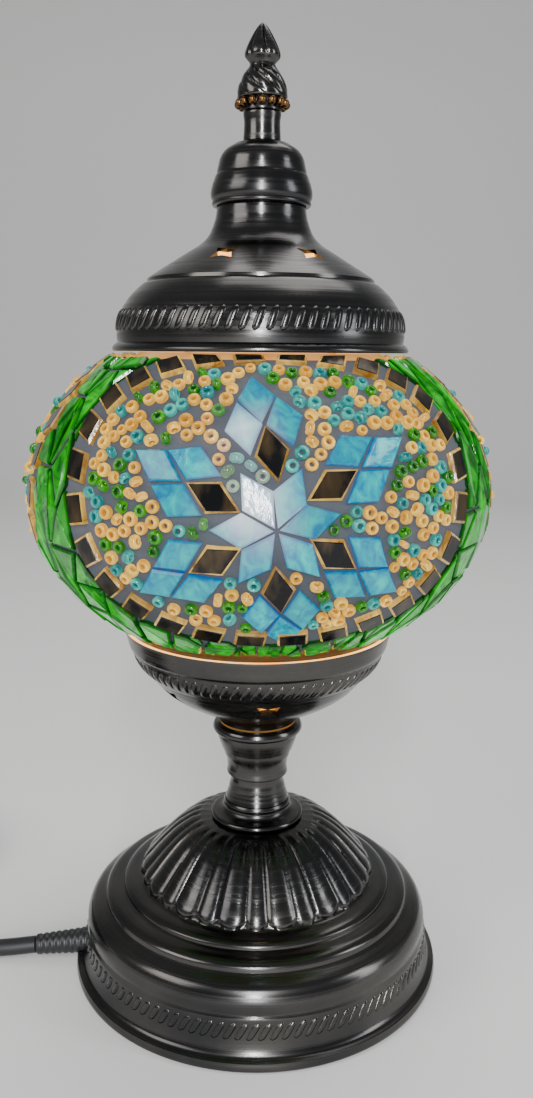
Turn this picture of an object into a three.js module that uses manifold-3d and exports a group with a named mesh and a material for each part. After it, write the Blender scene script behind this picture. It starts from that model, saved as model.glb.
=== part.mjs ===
// A mosaic glass table lamp: a dark spun-metal base and stem, an oblate glass globe covered
// with mosaic, a domed metal cap and a cast finial, with everything that it holds inside.
// Millimetres, +Z up. The origin is the centre of the lamp's underside.
import * as THREE from 'three';
import { mergeVertices } from 'three/addons/utils/BufferGeometryUtils.js';
import Module from 'manifold-3d';

const wasm = await Module();
wasm.setup();

// ---------------------------------------------------------------- driving dimensions
const GAP = 0.3;                 // between two pieces that touch
const WALL = 1.5;                // spun sheet metal
const FELT_RADIUS = 60.4;
const DOME_TOP = 58.4;           // the base shell's upper face
const CUP_FLOOR = 97.7;          // the lower cup's underside
const GLOBE_MIDDLE = 184;        // height of the globe's widest circle
const GLOBE_RADIUS = 82.3;       // over the beads
const GLOBE_RISE = 62.9;         // vertical half-axis of the globe's upper half
const GLOBE_FALL = 60.5;         // vertical half-axis of the globe's lower half
const MOSAIC_THICKNESS = 4.2;
const GLASS_THICKNESS = 2.5;
const GLOBE_TOP = 232.9;
const GLOBE_BOTTOM = 135.4;
const CAP_RIM = 233.3;
const CAP_TOP = 281.4;
const CROWN_TOP = 301.8;
const FINIAL_BOTTOM = 312.2;
const LAMP_TOP = 340;
const TUBE_RADIUS = 5;           // M10 hollow rod
const TUBE_CLEARANCE = 5.4;
const STUD_RADIUS = 3;           // M6 stud that the finial screws on to
const STUD_TOP = 320;
const HARP_HALF_WIDTH = 29.5;
const BULB_RADIUS = 22.5;
const BULB_MIDDLE = 189;
const CORD_DIAMETER = 6.4;
const CORD_PITCH = 6.5;          // from one turn of the coil to the next
const CORD_REST = 3.3;           // height of the cord's centre where it lies down
const CORD_LANE = -7;            // y of the cord's straight run
const EXIT_ANGLE = 0.07;         // the cord leaves a little in front of the left-hand side
const EXIT_HEIGHT = 6.6;
const GRIP_START = 63;           // distance from the lamp's axis to the hole in the base's wall
const GRIP_DROP = 0.07;          // the cord grip slopes down towards the table
const COIL_CENTRE = [-180, 67.5];
const COIL_INNER_TURN = 26;      // centre line of the innermost turn
const COIL_OUTER_TURN = 42.25;   // centre line of the outermost turn
const SWITCH_SIZE = [46, 24, 19];
const SWITCH_LANE = 9.2;         // y of the switch's centre line
const SWITCH_X = -181;
const SWITCH_RIGHT = SWITCH_X + SWITCH_SIZE[0] / 2;
const SWITCH_LEFT = SWITCH_X - SWITCH_SIZE[0] / 2;
const SWITCH_AXIS = 9.7;         // height of the cord's centre where it enters the switch
const SWITCH_SEAM = 9.5;
const ROCKER_PIVOT = 15.6;
const ROCKER_TILT = 0.14;        // pressed down at its lamp end, which is on
const PLUG_LANE = 35;            // y of the plug's centre line
const PLUG_HEIGHT = 20.6;        // the plug lies on top of the coil
const PLUG_END = -164;           // x of the plug's cord end

const FINE = 28;                 // sides of a large turned piece
const COARSE = 16;               // sides of a small turned piece

// ---------------------------------------------------------------- materials
const finish = (color, roughness, metalness) =>
  new THREE.MeshStandardMaterial({ color, roughness, metalness });
const DARK_METAL = finish(0x2b2825, 0.28, 1);
const STEEL = finish(0x9b9c9e, 0.4, 1);
const ZINC = finish(0xb3b4ae, 0.45, 1);
const BRASS = finish(0xb08d3e, 0.35, 1);
const IRON = finish(0x3a3835, 0.8, 0.6);
const FELT = finish(0x1b1b1c, 0.95, 0);
const BOARD = finish(0x6b5a45, 0.9, 0);
const RUBBER = finish(0x111112, 0.75, 0);
const BLACK_PLASTIC = finish(0x141415, 0.45, 0);
const WHITE_PLASTIC = finish(0xd9d6cc, 0.4, 0);
const MOSAIC = finish(0x2f9e8f, 0.25, 0);
const GLASS = finish(0xe8efe9, 0.1, 0);
const FROSTED = finish(0xfff2d8, 0.3, 0);
const TUNGSTEN = finish(0xffb763, 0.5, 0.5);
const BROWN_PVC = finish(0x5b3520, 0.6, 0);
const BLUE_PVC = finish(0x21508f, 0.6, 0);

const lamp = new THREE.Group();

function place(name, geometry, material, parent = lamp) {
  const mesh = new THREE.Mesh(geometry, material);
  mesh.name = name;
  parent.add(mesh);
  return mesh;
}

// ---------------------------------------------------------------- shape helpers

// A turned piece: its [radius, height] outline runs counter-clockwise, so its faces point out.
function turned(outline, sides = COARSE) {
  const points = outline.map(([radius, height]) => new THREE.Vector2(radius, height));
  if (outline[0][0] > 0) points.push(points[0].clone());
  return new THREE.LatheGeometry(points, sides).rotateX(Math.PI / 2);
}

// A ring with a square section.
const ring = (inner, outer, bottom, top, sides = COARSE) =>
  turned([[inner, bottom], [outer, bottom], [outer, top], [inner, top]], sides);

// A round bar standing on a height.
const bar = (radius, bottom, top, sides = COARSE) =>
  turned([[0, bottom], [radius, bottom], [radius, top], [0, top]], sides);

// A flat outline in XY, raised along Z.
function raised(shape, bottom, top) {
  const depth = top - bottom;
  return new THREE.ExtrudeGeometry(shape, { depth, bevelEnabled: false }).translate(0, 0, bottom);
}

const polygon = (points) => new THREE.Shape(points.map(([x, y]) => new THREE.Vector2(x, y)));

function circle(radius, sides) {
  const corners = [];
  for (let i = 0; i < sides; i += 1) {
    const angle = (i / sides) * 2 * Math.PI;
    corners.push([radius * Math.cos(angle), radius * Math.sin(angle)]);
  }
  return corners;
}

function hexNut(acrossCorners, bore, bottom, top) {
  const shape = polygon(circle(acrossCorners / 2, 6));
  shape.holes.push(new THREE.Path(circle(bore, 12).map(([x, y]) => new THREE.Vector2(x, y))));
  return raised(shape, bottom, top);
}

// A round lead or cord along a smooth curve through its points.
function leadAlong(points, diameter, steps, sides = 8) {
  const curve = new THREE.CatmullRomCurve3(points.map((p) => new THREE.Vector3(...p)), false, 'centripetal');
  const options = { steps, extrudePath: curve, bevelEnabled: false };
  return new THREE.ExtrudeGeometry(polygon(circle(diameter / 2, sides)), options);
}

// Points of the globe's outline for a wall that lies a given depth under the bead tops.
function globeArc(depth, low, high, steps) {
  const arc = [];
  for (let i = 0; i <= steps; i += 1) {
    const height = low + ((high - low) * i) / steps;
    const half = (height < GLOBE_MIDDLE ? GLOBE_FALL : GLOBE_RISE) - depth;
    const share = Math.min(1, Math.abs(height - GLOBE_MIDDLE) / half);
    arc.push([(GLOBE_RADIUS - depth) * Math.sqrt(1 - share * share), height]);
  }
  return arc;
}

// ---------------------------------------------------------------- cutting and joining
function toSolid(geometry) {
  const bare = geometry.clone();
  bare.deleteAttribute('normal');
  bare.deleteAttribute('uv');
  const welded = mergeVertices(bare, 1e-4);
  const corners = welded.index.array;
  const kept = [];
  for (let i = 0; i < corners.length; i += 3) {
    const [a, b, c] = corners.slice(i, i + 3);
    if (a !== b && b !== c && c !== a) kept.push(a, b, c);
  }
  const mesh = new wasm.Mesh({
    numProp: 3,
    vertProperties: new Float32Array(welded.attributes.position.array),
    triVerts: new Uint32Array(kept),
  });
  return new wasm.Manifold(mesh);
}

function toGeometry(solid) {
  const mesh = solid.getMesh();
  const geometry = new THREE.BufferGeometry();
  geometry.setAttribute('position', new THREE.BufferAttribute(new Float32Array(mesh.vertProperties), 3));
  geometry.setIndex(new THREE.BufferAttribute(new Uint32Array(mesh.triVerts), 1));
  return geometry;
}

const cut = (body, tools) =>
  toGeometry(tools.reduce((solid, tool) => solid.subtract(toSolid(tool)), toSolid(body)));

const joined = (pieces) =>
  toGeometry(pieces.slice(1).reduce((solid, piece) => solid.add(toSolid(piece)), toSolid(pieces[0])));

// Pierced four-pointed stars in a ring, each square to a sloping wall.
function starVents(count, radius, height, lean, first) {
  const vents = [];
  const star = [];
  for (let i = 0; i < 8; i += 1) {
    const angle = (i / 8) * 2 * Math.PI + Math.PI / 4;
    const reach = i % 2 === 0 ? 6.2 : 2.9;
    star.push([reach * Math.cos(angle), 0.72 * reach * Math.sin(angle)]);
  }
  for (let i = 0; i < count; i += 1) {
    const vent = raised(polygon(star), -6, 6);
    vent.rotateY(lean);
    vent.translate(radius, 0, height);
    vent.rotateZ(first + (i / count) * 2 * Math.PI);
    vents.push(vent);
  }
  return vents;
}

// ---------------------------------------------------------------- base
function baseShell() {
  const outside = [
    [68.2, GAP], [70, 1.6], [69.6, 3.8], [67.4, 5], [65.9, 8.5], [65.6, 16.5], [64.8, 18.8],
    [65.2, 22], [63.4, 26.4], [58.6, 29.2], [57.2, 31.6], [51.6, 33], [50.2, 34.8],
    [44.8, 36.2], [42.4, 40], [38.6, 44.6], [34.8, 49], [30.6, 53], [26, 56.4], [22, DOME_TOP],
  ];
  const inside = [
    [TUBE_CLEARANCE, DOME_TOP], [TUBE_CLEARANCE, DOME_TOP - WALL], [21.4, 56.7], [29.6, 51.6],
    [36.6, 44.2], [42.4, 34.8], [56.6, 28.2], [63.4, 22], [64, 10], [66.2, 3.6], [66.2, GAP],
  ];
  const shell = turned([...outside, ...inside], FINE);
  return cut(shell, [alongExit(bar(4.9, -8, 14, 12))]);
}

// Turns a piece that stands on the origin into one that leaves the base with the cord.
const alongExit = (geometry) => geometry
  .rotateY(-Math.PI / 2 - GRIP_DROP)
  .translate(-GRIP_START, 0, EXIT_HEIGHT)
  .rotateZ(EXIT_ANGLE);

function buildBase() {
  place('base_felt', bar(FELT_RADIUS, 0, 1.8, FINE), FELT);
  place('bottom_cover', ring(8, FELT_RADIUS, 2.1, 3.4, FINE), BOARD);
  place('base_shell', baseShell(), DARK_METAL);
  place('base_weight', ring(TUBE_CLEARANCE, 40, 23.5, 33.6, FINE), IRON);
  place('bottom_washer', ring(TUBE_CLEARANCE, 14, 21.6, 23.2), ZINC);
  place('bottom_nut', hexNut(19.6, TUBE_CLEARANCE, 16.4, 21.3), STEEL);
  place('centre_tube', ring(3.7, TUBE_RADIUS, 13.8, 112, 16), ZINC);
}

// ---------------------------------------------------------------- stem
function buildStem() {
  const bore = TUBE_CLEARANCE;
  place('stem_collar', turned([
    [bore, 58.7], [17.2, 58.7], [17.7, 59.6], [17.4, 60.6], [15.4, 61.2], [12.9, 61.8],
    [12.5, 63.4], [12.7, 64.8], [12.3, 65.8], [bore, 65.8],
  ], FINE), DARK_METAL);
  place('stem_bell', turned([
    [bore, 66.1], [12, 66.1], [11.5, 67.6], [10.7, 70.4], [10.1, 73.2], [10, 75.6],
    [bore, 75.6],
  ]), DARK_METAL);
  place('stem_sleeve', turned([
    [bore, 75.9], [11, 75.9], [11.6, 77], [11.4, 79.4], [11.8, 82], [12.6, 84.6], [12.9, 86.2],
    [bore, 86.2],
  ]), DARK_METAL);
  place('stem_knob', turned([
    [bore, 86.5], [13.5, 86.5], [14.2, 89], [15.2, 93.2], [16.2, 93.8], [16.8, 95], [16.2, 96.4],
    [13.9, 97.4],
    [bore, 97.4],
  ]), DARK_METAL);
}

// ---------------------------------------------------------------- lower cup
function buildCup() {
  const outside = [
    [TUBE_CLEARANCE, CUP_FLOOR], [14.4, CUP_FLOOR], [15.2, 99.6], [20.4, 102.9], [31.6, 109],
    [39.6, 116.8], [44.4, 122], [45.9, 125.4], [48.3, 132.4], [49, 134.6],
  ];
  const inside = [
    [47.6, 134.6], [46.8, 132.4], [44.4, 125.8], [42.8, 122.6], [38.4, 117.8], [30.6, 110.4],
    [19.6, 104.5], [13.6, 100.6], [12.9, CUP_FLOOR + WALL], [TUBE_CLEARANCE, CUP_FLOOR + WALL],
  ];
  const cup = turned([...outside, ...inside], FINE);
  place('lower_cup', cut(cup, starVents(6, 26, 106.2, Math.PI - 0.5, 0.63)), DARK_METAL);
  place('cup_washer', ring(TUBE_CLEARANCE, 12, 99.5, 100.7), ZINC);
  place('cup_nut', hexNut(19.6, TUBE_CLEARANCE, 101, 104.6), STEEL);
  place('cup_gasket', turned([[38, 131.2], [45.4, 131.2], [46.2, 134.9], [38, 134.9]], FINE), RUBBER);
}

// ---------------------------------------------------------------- harp
// The bent steel strap that runs from the stem to the cap, round the bulb.
function buildHarp() {
  const wide = HARP_HALF_WIDTH;
  const strap = 2;
  const outer = [
    [-17, 104.9], [17, 104.9], [wide, 122], [wide, 226], [13, 258.6], [-13, 258.6],
    [-wide, 226], [-wide, 122],
  ];
  const inner = [
    [-15.8, 106.9], [15.8, 106.9], [wide - strap, 122.8], [wide - strap, 225.4], [11.8, 256.6],
    [-11.8, 256.6], [strap - wide, 225.4], [strap - wide, 122.8],
  ];
  const outline = polygon(outer);
  outline.holes.push(new THREE.Path(inner.map(([x, y]) => new THREE.Vector2(x, y))));
  const band = raised(outline, -8, 8).rotateX(Math.PI / 2);
  const tubeHole = bar(TUBE_CLEARANCE, 100, 110, 16);
  const studHole = bar(STUD_RADIUS + GAP, 250, 262, 12);
  place('harp_strap', cut(band, [tubeHole, studHole]), ZINC);
  place('harp_stud', turned([
    [0, 252.6], [5, 252.6], [5, 256.2], [STUD_RADIUS, 256.2], [STUD_RADIUS, STUD_TOP - 1],
    [STUD_RADIUS - 1, STUD_TOP], [0, STUD_TOP],
  ], 12), STEEL);
  place('harp_nut', hexNut(11.5, STUD_RADIUS + GAP + 0.1, 258.9, 262.6), STEEL);
}

// ---------------------------------------------------------------- socket and wiring
function buildSocket() {
  place('socket_base', turned([
    [TUBE_CLEARANCE, 107.2], [12.6, 107.2], [13.8, 108.6], [13.8, 117.6], [11.8, 117.6],
    [11.8, 113.4], [TUBE_CLEARANCE, 113.4],
  ]), WHITE_PLASTIC);
  place('socket_body', turned([
    [2.6, 129], [11.4, 129], [11.4, 117.9], [13.8, 117.9], [13.8, 121], [12.6, 122.4],
    [12.2, 157], [8.6, 157], [8.6, 132.2], [2.6, 132.2],
  ]), WHITE_PLASTIC);
  place('socket_shell', ring(7.6, 8.2, 134.2, 156), BRASS);
  place('socket_contact', turned([
    [0, 126.6], [1.9, 126.6], [1.9, 132.6], [4.4, 132.6], [4.4, 133.6], [0, 134.6],
  ], 12), BRASS);
  for (const [name, side, colour] of [['lead_live', 1, BROWN_PVC], ['lead_neutral', -1, BLUE_PVC]]) {
    const route = [
      [-11, side * 1.3, 9.6], [-5, side * 1.35, 9.6], [-0.6, side * 1.45, 12.4], [0, side * 1.5, 18],
      [0, side * 1.5, 60], [0, side * 1.5, 110], [0, side * 2.4, 116.5], [0, side * 5.6, 121],
      [0, side * 6.4, 126.6],
    ];
    place(name, leadAlong(route, 2, 22, 6), colour);
  }
}

// ---------------------------------------------------------------- globe
function buildGlobe() {
  const skinBack = globeArc(MOSAIC_THICKNESS, GLOBE_BOTTOM, GLOBE_TOP, 10).reverse();
  const skinFront = globeArc(0, GLOBE_BOTTOM, GLOBE_TOP, 10);
  place('mosaic_skin', turned([...skinFront, ...skinBack], FINE), MOSAIC);

  const faceDepth = MOSAIC_THICKNESS + GAP + 0.1;
  const glassFront = globeArc(faceDepth, GLOBE_BOTTOM + 0.8, GLOBE_TOP, 10);
  const glassBack = globeArc(faceDepth + GLASS_THICKNESS, GLOBE_BOTTOM + 3.2, GLOBE_TOP - 2.6, 10);
  place('globe_glass', turned([...glassFront, ...glassBack.reverse()], FINE), GLASS);
}

// ---------------------------------------------------------------- cap, crown and finial
function buildCap() {
  const outside = [
    [49.8, CAP_RIM], [51.3, CAP_RIM], [51.3, 234.8], [49.6, 236.2], [49.9, 239], [49.5, 243.2],
    [47.2, 248.3], [43.8, 252.7], [40.4, 255.7], [39.2, 257.1], [32, 262.3], [26.1, 266.2],
    [20.4, 269.7], [18.2, 272], [16.4, 275.6], [15.4, 279.4], [15.2, CAP_TOP], [4.2, CAP_TOP],
  ];
  const inside = [
    [4.2, CAP_TOP - WALL], [13.6, 279.6], [14.9, 275], [17, 271.2], [24.8, 265], [31, 260.9],
    [38.2, 255.7], [42.4, 251.8], [45.8, 247.4], [47.9, 243], [48.2, 236.4], [49.8, 235],
  ];
  const dome = turned([...outside, ...inside], FINE);
  place('top_cap', cut(dome, starVents(6, 28, 264.6, 0.57, -2.0)), DARK_METAL);
  place('cap_gasket', turned([[40.6, 233.6], [47.4, 233.6], [47.4, 235.4], [40.6, 235.4]], FINE), RUBBER);

  place('crown_bell', turned([
    [15.3, 281.7], [16.6, 281.7], [17.1, 283.2], [17.2, 287], [15.9, 291.4], [14.9, 295.7],
    [13, 299], [9.2, CROWN_TOP], [4.2, CROWN_TOP], [4.2, 300.2], [8.8, 300.2], [12, 297.6],
    [13.8, 293.6], [15.5, 287],
  ]), DARK_METAL);
  place('neck_tube', ring(4.2, 6.4, CROWN_TOP + GAP, FINIAL_BOTTOM - GAP, 16), DARK_METAL);
}

function buildFinial() {
  place('finial_insert', ring(STUD_RADIUS + GAP + 0.1, 4.7, FINIAL_BOTTOM + 0.4, 320.6, 12), BRASS);
  place('finial', turned([
    [5.1, FINIAL_BOTTOM], [6.5, FINIAL_BOTTOM], [6.6, 315.9], [8.2, 315.9], [8.5, 317.4],
    [7.9, 320.6], [6.5, 323.6], [4.7, 325.9], [4.2, 327], [5.7, 328.6], [6, 330.2],
    [5.1, 332.6], [3.6, 335.2], [1.9, 338], [0, LAMP_TOP], [0, 321.2], [5.1, 321.2],
  ]), DARK_METAL);
  place('finial_bead_ring', turned([
    [7, 313.2], [8.8, 313.2], [9.5, 314.4], [8.8, 315.6], [7, 315.6],
  ]), DARK_METAL);
}

// ---------------------------------------------------------------- bulb
function buildBulb() {
  place('bulb_contact', turned([[0, 134.9], [1.6, 135.2], [2.3, 136.6], [2.3, 137.4], [0, 137.4]], 12), ZINC);
  place('bulb_cap', turned([
    [0, 137.7], [3.4, 137.7], [6.8, 140.2], [6.8, 160], [6.3, 160], [6.3, 141], [0, 141],
  ]), BRASS);
  const outside = [[5, 144], [5.9, 144], [5.9, 160.6], [8.2, 167], [13.4, 171]];
  const inside = [[0, BULB_MIDDLE + BULB_RADIUS - 1]];
  const start = -0.93;
  for (let i = 1; i <= 9; i += 1) {
    const angle = start + ((Math.PI / 2 - start) * i) / 9;
    const tip = i === 9;
    outside.push([tip ? 0 : BULB_RADIUS * Math.cos(angle), BULB_MIDDLE + BULB_RADIUS * Math.sin(angle)]);
  }
  for (let i = 7; i >= 0; i -= 1) {
    const angle = start + ((Math.PI / 2 - start) * i) / 8;
    const hollow = BULB_RADIUS - 1;
    inside.push([hollow * Math.cos(angle), BULB_MIDDLE + hollow * Math.sin(angle)]);
  }
  inside.push([7.3, 167.4], [5, 161]);
  place('bulb_glass', turned([...outside, ...inside], COARSE), FROSTED);
  place('bulb_stem', turned([
    [0, 146], [3.6, 146], [3.2, 160], [1.5, 168], [1.2, 180], [2, 182], [0, 182.6],
  ], 12), GLASS);
  const arch = [[-8, 0, 187.6], [-5, 0, 190.4], [0, 0, 191.6], [5, 0, 190.4], [8, 0, 187.6]];
  place('bulb_filament', leadAlong(arch, 1, 10, 6), TUNGSTEN);
}

// ---------------------------------------------------------------- cord, coil, switch and plug

// A point on the cord's way out of the base, a distance beyond the hole.
function exitPoint(beyond) {
  const reach = GRIP_START + beyond * Math.cos(GRIP_DROP);
  const height = EXIT_HEIGHT - beyond * Math.sin(GRIP_DROP);
  return [-reach * Math.cos(EXIT_ANGLE), -reach * Math.sin(EXIT_ANGLE), height];
}

function buildCord() {
  const inBase = [exitPoint(-2.6), exitPoint(-7), [-42, -2.4, 7.3], [-27, 0, 7.3], [-12, 0, 7.3]];
  place('cable_in_base', leadAlong(inBase, CORD_DIAMETER - 0.2, 6), RUBBER);
  place('cord_grip', alongExit(turned([
    [0, -2.2], [5.6, -2.2], [5.6, -0.7], [4.4, -0.3], [4.3, 7], [3.7, 23], [0, 23],
  ], 12)), RUBBER);

  // Out along the lane, once round the coil, and into the far end of the switch.
  const rest = CORD_REST;
  const run = [
    exitPoint(23.4), [-99, -6.8, 3.9], [-112, CORD_LANE, rest], [-135, CORD_LANE, rest],
    [-160, CORD_LANE, rest], [-182, CORD_LANE, rest], [-205, -6.2, rest], [-222.5, 1.8, rest],
    [-234.3, 17.5, rest], [-239.8, 38, rest], [-241, 60, rest], [-238, 82, rest], [-226, 101.5, rest],
    [-206, 114.2, rest], [-183, 118, rest], [-161, 114, rest], [-143, 102.5, rest], [-132, 85, rest],
    [-128.8, 65, rest], [-128.6, 48, rest], [-130.1, 32, 3.8], [-134.6, 20.4, 5.6], [-142.4, 12.8, 7.9],
    [SWITCH_RIGHT + 6, SWITCH_LANE + 0.6, 9.5], [SWITCH_RIGHT + GAP, SWITCH_LANE, SWITCH_AXIS],
  ];
  place('cord_run', leadAlong(run, CORD_DIAMETER, 44), RUBBER);

  const lead = [
    [SWITCH_LEFT - GAP, SWITCH_LANE, SWITCH_AXIS], [SWITCH_LEFT - 6, SWITCH_LANE + 0.6, 9.5],
    [-218.6, 13.4, 7.8], [-224.9, 18.9, 5.8], [-229.2, 26, 4.2], [-231.2, 34.5, rest],
    [-231.6, 48, rest], [-230.9, 61, rest], [-229.2, 73, rest],
  ];
  place('cord_lead', leadAlong(lead, CORD_DIAMETER, 12), RUBBER);

  const inner = COIL_INNER_TURN - CORD_DIAMETER / 2 - 0.1;
  const outer = COIL_OUTER_TURN + CORD_DIAMETER / 2 + 0.1;
  const top = CORD_REST + CORD_PITCH + CORD_DIAMETER / 2 + 0.1;
  place('cord_coil', ring(inner, outer, 0.1, top, FINE).translate(...COIL_CENTRE, 0), RUBBER);

  const tail = [
    [-139.8, 50, 17], [-143.6, 42.6, 19.2], [-150.4, 37, 20.4], [PLUG_END + 6, PLUG_LANE + 0.5, PLUG_HEIGHT],
    [PLUG_END + GAP, PLUG_LANE, PLUG_HEIGHT],
  ];
  place('cord_tail', leadAlong(tail, CORD_DIAMETER, 5), RUBBER);
}

// An inline rocker switch: two half shells held by two screws round the rocker.
function buildSwitch() {
  const [long, wide, high] = SWITCH_SIZE;
  const wall = 1.6;
  const outline = roundedBox(long, wide, 7);
  const hollow = roundedBox(long - 2 * wall, wide - 2 * wall, 5.6);
  const parts = new THREE.Group();
  parts.position.set(SWITCH_X, SWITCH_LANE, 0);
  lamp.add(parts);

  const holes = [];
  const bosses = [];
  const screws = [];
  for (const side of [-1, 1]) {
    const x = side * 15.5;
    holes.push(bar(1.8, -1, 5, 12).translate(x, 0, 0), bar(3.1, -1, 2, 12).translate(x, 0, 0));
    bosses.push(ring(1.8, 3.3, SWITCH_SEAM + GAP, high - wall + 0.5, 12).translate(x, 0, 0));
    screws.push(turned([
      [0, 0.6], [2.6, 0.6], [2.6, 1.8], [1.4, 1.8], [1.4, 14], [0, 14],
    ], 12).translate(x, 0, 0));
  }
  const lower = cut(raised(polygon(outline), 0.2, SWITCH_SEAM), [
    raised(polygon(hollow), 3.4, SWITCH_SEAM + 1), ...holes,
  ]);
  const upper = cut(raised(polygon(outline), SWITCH_SEAM + GAP, high), [
    raised(polygon(hollow), SWITCH_SEAM - 1, high - wall),
    raised(polygon(roundedBox(17, 11, 1)), high - 3, high + 1),
  ]);
  place('switch_base', lower, BLACK_PLASTIC, parts);
  place('switch_cover', joined([upper, ...bosses]), BLACK_PLASTIC, parts);
  screws.forEach((screw, i) => place(`switch_screw_${i + 1}`, screw, STEEL, parts));

  const contact = polygon([
    [-7, 8.2], [7, 8.2], [7, 11.4], [5, 11.4], [5, 9.2], [-5, 9.2], [-5, 11.4], [-7, 11.4],
  ]);
  place('switch_contact', raised(contact, -2, 2).rotateX(Math.PI / 2), BRASS, parts);

  const tumbler = polygon([[-6.4, -2], [6.4, -2], [7.4, 3.4], [0, 2.3], [-7.4, 3.4]]);
  const pivot = bar(1.2, -7.5, 7.5, 12);
  const rocker = joined([raised(tumbler, -5.1, 5.1), pivot]).rotateX(Math.PI / 2);
  rocker.rotateY(ROCKER_TILT).translate(0, 0, ROCKER_PIVOT);
  place('switch_rocker', rocker, BLACK_PLASTIC, parts);
}

// A rectangle with round corners.
function roundedBox(long, wide, corner) {
  const outline = [];
  for (const [sx, sy, first] of [[1, 1, 0], [-1, 1, 1], [-1, -1, 2], [1, -1, 3]]) {
    for (let i = 0; i <= 4; i += 1) {
      const angle = (first + i / 4) * (Math.PI / 2);
      const x = sx * (long / 2 - corner) + corner * Math.cos(angle);
      outline.push([x, sy * (wide / 2 - corner) + corner * Math.sin(angle)]);
    }
  }
  return outline;
}

// A flat two-pin plug, lying on the coil with its pins pointing away from the lamp.
function buildPlug() {
  const parts = new THREE.Group();
  parts.position.set(PLUG_END, PLUG_LANE, PLUG_HEIGHT);
  lamp.add(parts);
  const body = polygon([
    [0, -4.6], [0, 4.6], [-9, 6.4], [-20, 13], [-35, 13], [-35, -13], [-20, -13], [-9, -6.4],
  ]);
  place('plug_body', raised(body, -6.8, 6.8), BLACK_PLASTIC, parts);
  for (const side of [-1, 1]) {
    const pin = turned([[0, 0], [2, 0], [2, 18], [1.2, 19], [0, 19]], 12).rotateY(-Math.PI / 2);
    place(side < 0 ? 'plug_pin_1' : 'plug_pin_2', pin.translate(-35 - GAP, side * 9.5, 0), BRASS, parts);
  }
}

buildBase();
buildStem();
buildCup();
buildHarp();
buildSocket();
buildGlobe();
buildCap();
buildFinial();
buildBulb();
buildCord();
buildSwitch();
buildPlug();

export default lamp;
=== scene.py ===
"""Mosaic glass table lamp: its looks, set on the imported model. Metres in Blender, +Z up.

Sizes below are in millimetres and degrees, and MM turns them into metres. Angles round the
lamp are measured from its front (-Y) towards its right (+X).
"""

import random
from math import atan2, copysign, cos, degrees, exp, hypot, pi, radians, sin, sqrt, tau

import bmesh
import bpy
from mathutils import Matrix, Vector


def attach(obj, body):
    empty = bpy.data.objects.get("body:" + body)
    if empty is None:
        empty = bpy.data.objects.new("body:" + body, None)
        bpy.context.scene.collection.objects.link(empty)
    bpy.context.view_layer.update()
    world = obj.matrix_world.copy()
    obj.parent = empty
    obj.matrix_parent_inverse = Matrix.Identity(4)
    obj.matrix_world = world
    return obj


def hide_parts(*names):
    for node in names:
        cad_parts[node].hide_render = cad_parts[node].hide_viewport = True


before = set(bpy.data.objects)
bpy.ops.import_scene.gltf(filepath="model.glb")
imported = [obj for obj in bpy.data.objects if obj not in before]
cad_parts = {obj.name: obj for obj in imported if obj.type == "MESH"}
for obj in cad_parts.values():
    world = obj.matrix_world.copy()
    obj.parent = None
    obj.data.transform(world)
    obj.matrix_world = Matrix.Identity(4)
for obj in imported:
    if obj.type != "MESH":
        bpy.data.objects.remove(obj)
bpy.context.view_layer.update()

MM = 0.001
# Steps round the axis, for the ribbed dome and for the other spun pieces.
FINE_STEPS = 360
ROUND_STEPS = 128

# The dome's ribs: their number, and the radii where they begin and end.
RIBS = 15
RIB_OUTER = 44.9
RIB_INNER = 21.8
# Heights where the finial's twisted folds and its leaves begin and end.
FOLDS = (316.0, 326.5)
LEAVES = (327.2, 339.6)
# A star vent: the reach of its points and of its notches, and its height to its width.
STAR_POINT = 5.6
STAR_NOTCH = 2.6
STAR_SQUASH = 0.85

# The globe's grout, just under the tops of its beads. Its upper half is a little taller.
GLOBE_MIDDLE = 184.0
GROUT_RADIUS = 80.1
GROUT_RISE = 60.7
GROUT_FALL = 58.3
GROUT_THICK = 1.6
# Distances up the globe's side: the ends of the grout, of the green lattice and of the beads.
GROUT_LOW = -56.9
GROUT_SPAN = 114.8
LATTICE_TOP = 57.6
LATTICE_BOTTOM = -56.4
BEADS_TOP = 56.5
# Half degrees from the globe's middle to the end of its side.
SIDE_STEPS = 116

# Three star medallions, each in an oval border of mirror pieces.
MEDALLION_TURNS = (4.0, 124.0, 244.0)
BORDER_HALF_WIDTH = 65.5
BORDER_HALF_HEIGHT = 50.0
BORDER_LIFT = 9.0
BORDER_PIECES = 28
BORDER_LONG = 9.9
BORDER_WIDE = 7.6
# Border pieces that pass the first height are cut off at the second.
BORDER_LIMIT = 60.5
BORDER_CUT = 58.5
# Directions of the six petals round a star's centre, and their size.
PETALS = (122, 68, 14, -47, -124, 180)
PETAL_SIDE = 10.9
PETAL_MIDDLE = 10.0
# Each ray of a star: direction and distance of its mirror, and the way that the ray points.
RAYS = (
    (93, 22, 102), (38, 20.5, 29), (-23, 18, -34), (-87, 18.5, -82), (-153, 19.5, -152), (153, 20, 153),
)
CELL_PITCH = 11.1
CELL_SIDE = 10.7
CELL_HALF_ANGLE = 33.0
# The green lattice: half a diamond's width in degrees and half its height, and the seam's turn.
DIAMOND_TURN = 5.6
DIAMOND_UP = 12.4
SEAM_TURN = 60
# Painted bright spots where a medallion shows the bulb through the glass: place, spread and strength.
PAINTED_BULB_SPOTS = (((-7, 6.5), 9, 1.0), ((-9, 28), 6, 0.9))
# Seed beads: their outer radii, and the side of a square of the grid that finds neighbours.
BEAD_SIZES = (2.2, 2.1, 2.0, 1.9)
FILLER_SIZES = (2.1, 1.9, 1.65)
GRID = 5

# The cord's way out of the base, its two parts and the coil.
CORD_DIAMETER = 6.4
GRIP_START = 63.0
EXIT_HEIGHT = 6.6
EXIT_SLANT = 0.07
# Heights of a cord that lies on the floor, and on the coil's first layer.
LYING = 3.3
SECOND_LAYER = 9.8
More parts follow.
